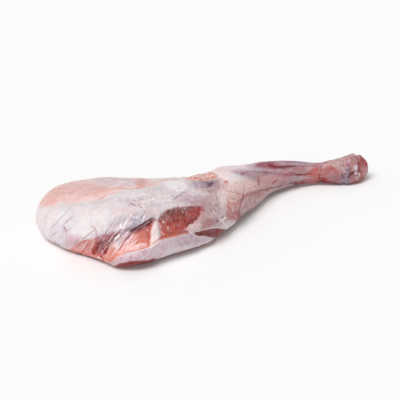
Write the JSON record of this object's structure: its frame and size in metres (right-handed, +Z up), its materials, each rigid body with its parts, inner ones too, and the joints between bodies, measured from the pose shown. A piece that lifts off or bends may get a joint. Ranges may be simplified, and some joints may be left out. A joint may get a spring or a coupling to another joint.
{
  "type": "raw lamb shoulder",
  "caption": "Raw lamb shoulder on the bone: a broad blade end under a pale fat cap with a red cut flank, an elbow, and a slim shank that ends in a knuckle.",
  "frame": {"origin": "centre of the bounding box's base, on the table", "axes": "+X from the blade end to the knuckle, +Y to the far side away from the cut flank, +Z up"},
  "size_m": [0.4362, 0.178, 0.0668],
  "materials": {
    "raw_meat": "moist fat, fascia and lean, satin to wet"
  },
  "bodies": {
    "root": {"shoulder": "raw_meat"}
  },
  "joints": []
}
